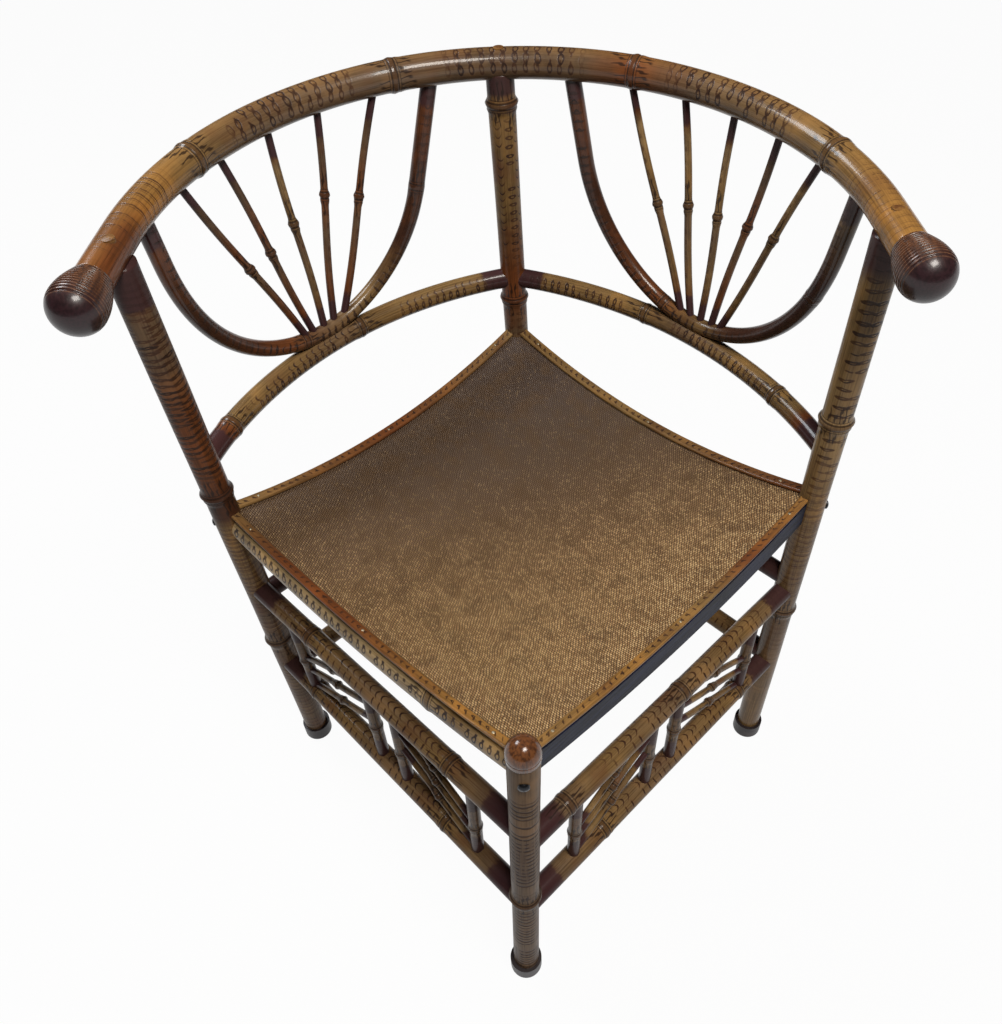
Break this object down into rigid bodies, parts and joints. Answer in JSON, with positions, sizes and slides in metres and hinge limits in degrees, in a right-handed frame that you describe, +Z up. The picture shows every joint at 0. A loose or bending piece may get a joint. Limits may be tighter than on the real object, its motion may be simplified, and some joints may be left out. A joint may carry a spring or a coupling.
{
  "type": "corner chair",
  "caption": "Bamboo corner chair with a square dished woven seat set on its corner, a round arm rail ending in knobs, and hooped back panels.",
  "frame": {"origin": "on the floor under the middle of the chair's outline", "axes": "+Z up; the chair faces -Y, with its front leg towards -Y and its side legs towards -X and +X"},
  "size_m": [0.6242, 0.5952, 0.7345],
  "materials": {
    "scorched_bamboo": "glossy varnished bamboo with dark scorch marks",
    "arm_bamboo": "glossy varnished bamboo, olive tan with brown ends",
    "dark_mottled_bamboo": "glossy dark brown mottled bamboo",
    "pale_bamboo": "glossy pale bamboo with black marks",
    "trim_bamboo": "glossy brown split bamboo strip",
    "turned_wood": "glossy dark brown turned wood",
    "black_cup": "glossy black",
    "dark_bolt": "glossy black",
    "pale_pin": "dull",
    "woven_matting": "woven fibre, satin",
    "black_painted_wood": "blue-black paint over grain",
    "plain_wood": "plain"
  },
  "bodies": {
    "root": {"arm_rail": "arm_bamboo", "arm_rail_plugs": "turned_wood", "back_leg": "scorched_bamboo", "foot_ferrules": "black_cup", "front_leg": "scorched_bamboo", "front_leg_cap": "turned_wood", "left_back_hoop": "dark_mottled_bamboo", "left_back_stick_1": "scorched_bamboo", "left_back_stick_2": "scorched_bamboo", "left_back_stick_3": "scorched_bamboo", "left_back_stick_4": "scorched_bamboo", "left_back_stick_5": "scorched_bamboo", "left_finial": "turned_wood", "left_leg": "scorched_bamboo", "lower_back_rail_left": "scorched_bamboo", "lower_back_rail_right": "scorched_bamboo", "lower_rail_back_left": "scorched_bamboo", "lower_rail_back_right": "scorched_bamboo", "lower_rail_front_left": "scorched_bamboo", "lower_rail_front_right": "scorched_bamboo", "rail_dowels": "plain_wood", "right_back_hoop": "dark_mottled_bamboo", "right_back_stick_1": "scorched_bamboo", "right_back_stick_2": "scorched_bamboo", "right_back_stick_3": "scorched_bamboo", "right_back_stick_4": "scorched_bamboo", "right_back_stick_5": "scorched_bamboo", "right_finial": "turned_wood", "right_leg": "scorched_bamboo", "seat_battens": "plain_wood", "seat_board": "plain_wood", "seat_bolts": "dark_bolt", "seat_corner_blocks": "plain_wood", "seat_facing_front_left": "pale_bamboo", "seat_matting": "woven_matting", "seat_rail_back_left": "black_painted_wood", "seat_rail_back_right": "black_painted_wood", "seat_rail_front_left": "black_painted_wood", "seat_rail_front_right": "black_painted_wood", "seat_trim_back_left": "trim_bamboo", "seat_trim_back_right": "trim_bamboo", "seat_trim_front_left": "trim_bamboo", "seat_trim_front_right": "trim_bamboo", "sticks_front_left_inner": "scorched_bamboo", "sticks_front_left_outer": "scorched_bamboo", "sticks_front_right_inner": "scorched_bamboo", "sticks_front_right_outer": "scorched_bamboo", "stile_front_left_1": "scorched_bamboo", "stile_front_left_2": "scorched_bamboo", "stile_front_left_3": "scorched_bamboo", "stile_front_left_4": "scorched_bamboo", "stile_front_right_1": "scorched_bamboo", "stile_front_right_2": "scorched_bamboo", "stile_front_right_3": "scorched_bamboo", "stile_front_right_4": "scorched_bamboo", "trim_pins": "pale_pin", "upper_rail_back_left": "scorched_bamboo", "upper_rail_back_right": "scorched_bamboo", "upper_rail_front_left": "scorched_bamboo", "upper_rail_front_right": "scorched_bamboo"}
  },
  "joints": []
}
